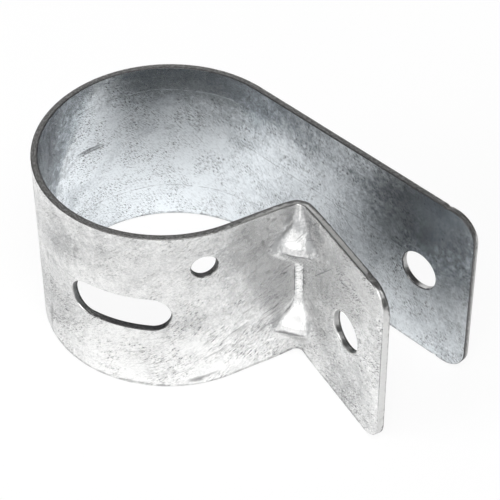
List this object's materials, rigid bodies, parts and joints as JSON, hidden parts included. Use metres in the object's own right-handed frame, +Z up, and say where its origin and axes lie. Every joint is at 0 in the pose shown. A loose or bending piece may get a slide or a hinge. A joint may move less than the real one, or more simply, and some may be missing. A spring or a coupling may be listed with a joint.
{
  "type": "tube clamp",
  "caption": "One-piece bent strip clamp for a sign post: open ring, straight leg and bolted flange with pressed darts in its bend, and a slot for the sign's bolt.",
  "frame": {"origin": "on the ring's axis, at the strip's lower edge", "axes": "+Z up along the post, +X along the straight leg towards the bolt, +Y from the ring's axis to the leg"},
  "size_m": [0.0853, 0.0528, 0.04],
  "materials": {
    "galvanised_steel": "hot-dip zinc, cloudy and lightly scuffed, with darker sheared edges"
  },
  "bodies": {
    "root": {"clamp_strap": "galvanised_steel"}
  },
  "joints": []
}
